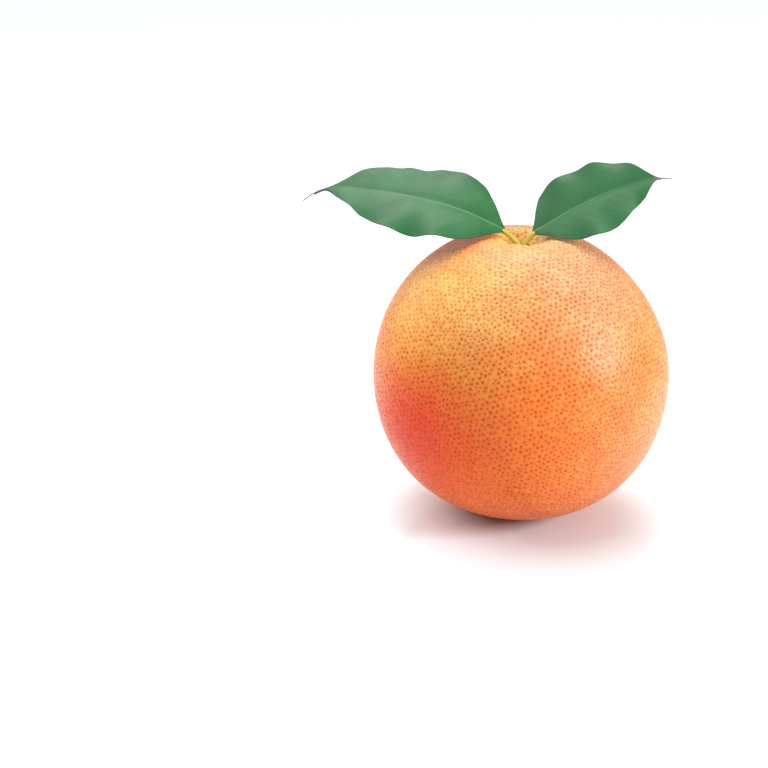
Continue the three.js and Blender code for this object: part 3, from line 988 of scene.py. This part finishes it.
def floor_material():
    shader = Shader("floor", **FLOOR_FINISH)
    shader.bump(shader.noise(FLOOR_WAVE_SIZE, detail=1), FLOOR_WAVE_DEPTH)
    return shader.material


# Surroundings

def make_floor():
    corners = [
        (x * FLOOR_HALF_WIDTH, y * FLOOR_HALF_WIDTH, -FLOOR_DROP)
        for x, y in ((-1, -1), (1, -1), (1, 1), (-1, 1))
    ]
    mesh = bpy.data.meshes.new("floor")
    mesh.from_pydata(corners, [], [(0, 1, 2, 3)])
    mesh.materials.append(floor_material())
    floor = bpy.data.objects.new("floor", mesh)
    bpy.context.scene.collection.objects.link(floor)


def make_camera():
    """Aims an unshifted lens so that the fruit's middle falls where the photograph has it."""
    focal = LENS / SENSOR * FRAME_SIZE
    distance = FRUIT_RADIUS * MM / math.sin(math.atan(FRUIT_SEEN_RADIUS / focal))
    tilt = math.radians(CAMERA_TILT)
    middle = Vector((0, 0, FRUIT_CENTRE * MM))
    aside = (FRUIT_AT[0] - FRAME_SIZE / 2) / focal
    above = (FRAME_SIZE / 2 - FRUIT_AT[1]) / focal
    turn = math.asin(aside / math.sqrt(1 + aside**2 + above**2) / math.cos(tilt))
    down = math.atan2(math.sin(tilt), math.cos(tilt) * math.cos(turn)) + math.atan(above)
    data = bpy.data.cameras.new("camera")
    data.lens = LENS
    data.sensor_width = SENSOR
    data.clip_start = NEAREST_SEEN
    data.clip_end = FARTHEST_SEEN
    camera = bpy.data.objects.new("camera", data)
    camera.location = middle + distance * Vector((0, -math.cos(tilt), math.sin(tilt)))
    camera.rotation_euler = (math.pi / 2 - down, 0, turn)
    bpy.context.scene.collection.objects.link(camera)
    bpy.context.scene.camera = camera


def add_lamp(data, place, target):
    lamp = bpy.data.objects.new(data.name, data)
    lamp.location = place
    lamp.rotation_euler = (target - Vector(place)).to_track_quat("-Z", "Y").to_euler()
    bpy.context.scene.collection.objects.link(lamp)


def make_softbox(name, place, width, height, power):
    """A rectangular lamp that faces the fruit's middle."""
    data = bpy.data.lights.new(name, "AREA")
    data.shape = "RECTANGLE"
    data.size = width
    data.size_y = height
    data.energy = power
    add_lamp(data, place, Vector((0, 0, FRUIT_CENTRE * MM)))


def make_sun(name, place, width, strength):
    """Even light from one side of the sky, as from a wide panel; width is in degrees."""
    data = bpy.data.lights.new(name, "SUN")
    data.angle = math.radians(width)
    data.energy = strength
    add_lamp(data, place, Vector((0, 0, 0)))


def make_lights():
    for sun in SUNS:
        make_sun(**sun)
    make_softbox(**SOFTBOX)
    world = bpy.data.worlds.new("studio")
    world.use_nodes = True
    background = world.node_tree.nodes["Background"]
    background.inputs["Color"].default_value = SKY_COLOUR
    background.inputs["Strength"].default_value = SKY_STRENGTH
    bpy.context.scene.world = world
    bpy.context.scene.view_settings.view_transform = "Standard"


def main():
    make_camera()
    make_lights()
    make_floor()
    make_fruit(rind_material())
    make_calyx(calyx_material())
    make_stalk(stalk_material())
    leaf_finish = leaf_material()
    for leaf in LEAVES:
        make_leaf(leaf, leaf_finish)


main()
